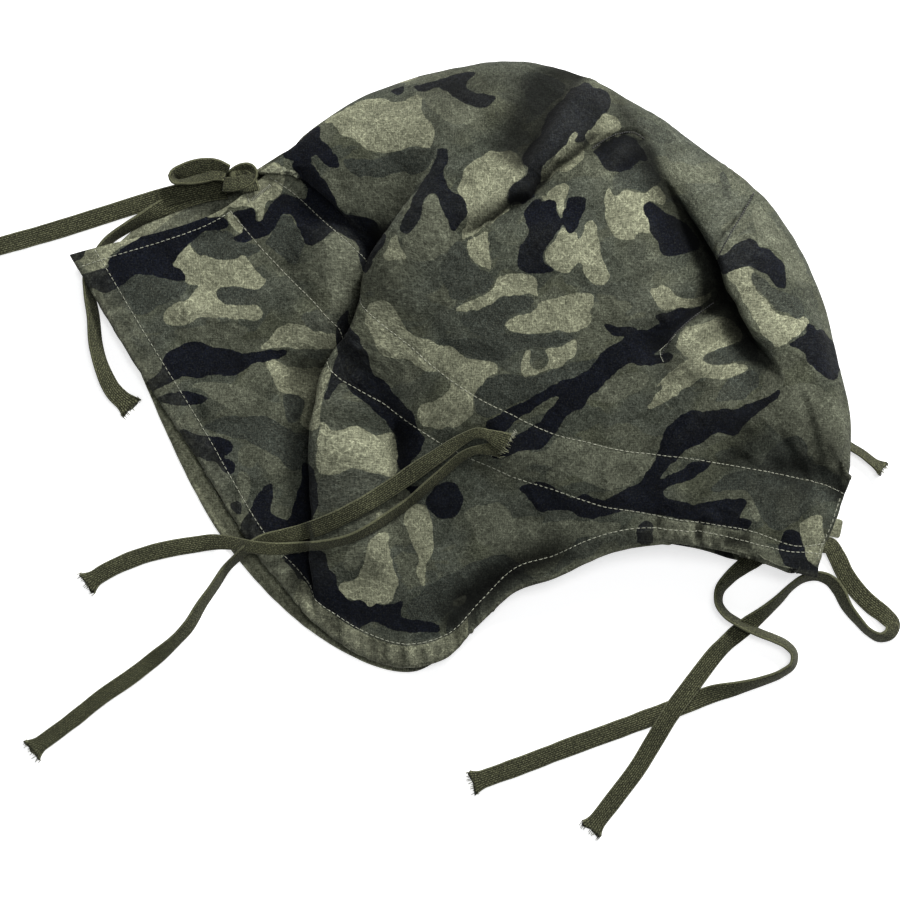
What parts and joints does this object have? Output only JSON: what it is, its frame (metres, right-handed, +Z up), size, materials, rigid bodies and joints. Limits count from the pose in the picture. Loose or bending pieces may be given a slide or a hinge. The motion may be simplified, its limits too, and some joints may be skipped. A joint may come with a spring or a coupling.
{
  "type": "camouflage drawcord bonnet with neck cape and ear flaps",
  "caption": "Soft cotton bonnet with a gathered crown, drawcord casing, ear flaps, neck cape and flat tape ties, lying on its side.",
  "frame": {"origin": "middle of the bonnet's outline on the surface that it lies on", "axes": "+X towards the brow, +Y towards the top of the crown, +Z up from the surface, out of the side that lies uppermost"},
  "size_m": [0.3858, 0.3262, 0.0572],
  "materials": {
    "camouflage_cloth": "washed plain-weave cotton with a woodland print",
    "facing_cloth": "plain-weave cotton, paler",
    "olive_tape": "flat woven cotton tape"
  },
  "bodies": {
    "root": {"panel_near": "camouflage_cloth", "panel_far": "camouflage_cloth", "front_tab": "facing_cloth", "back_knot": "olive_tape", "back_lead": "olive_tape", "back_loop": "olive_tape", "tie_ear_upper": "olive_tape", "tie_ear_lower": "olive_tape", "tie_front_upper": "olive_tape", "tie_front_lower": "olive_tape", "tie_ear_far": "olive_tape", "tie_back_long": "olive_tape", "tie_back_short": "olive_tape"}
  },
  "joints": []
}
